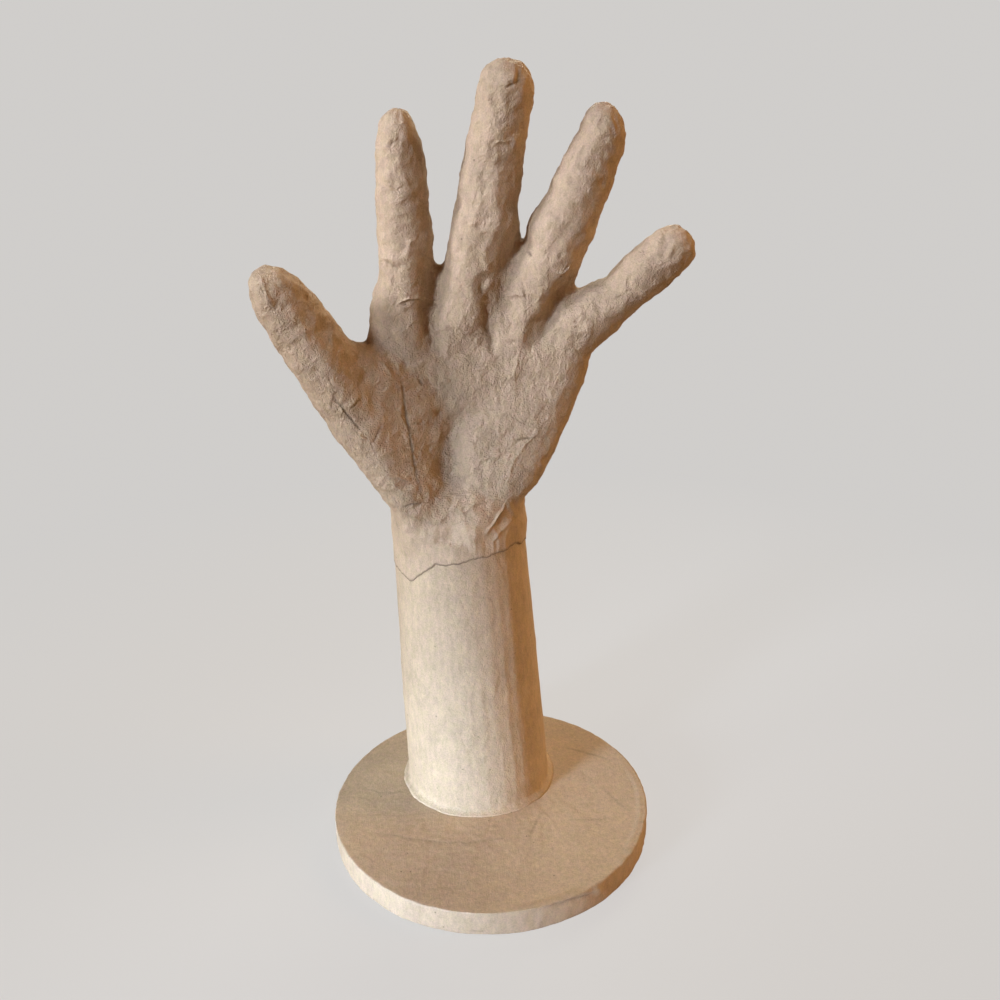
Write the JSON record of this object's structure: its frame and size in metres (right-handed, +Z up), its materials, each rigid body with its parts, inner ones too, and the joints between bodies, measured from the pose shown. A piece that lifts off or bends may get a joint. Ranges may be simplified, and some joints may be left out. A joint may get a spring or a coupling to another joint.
{
  "type": "hand jewelry display",
  "caption": "Open left hand of kraft papier-mache on a round card forearm and disc base, for standing on a table and hanging rings, bracelets and chains on.",
  "frame": {"origin": "centre of the base disc's underside", "axes": "+Z up along the forearm to the fingertips, -Y the way the palm faces, +X towards the little finger"},
  "size_m": [0.1756, 0.148, 0.3363],
  "materials": {
    "base_paper": "matt unpainted kraft paper over board",
    "forearm_paper": "matt unpainted kraft paper over rolled card",
    "hand_paper": "matt unpainted kraft papier-mache, wrinkled"
  },
  "bodies": {
    "root": {"base_disc": "base_paper", "forearm_tube": "forearm_paper", "hand": "hand_paper"}
  },
  "joints": []
}
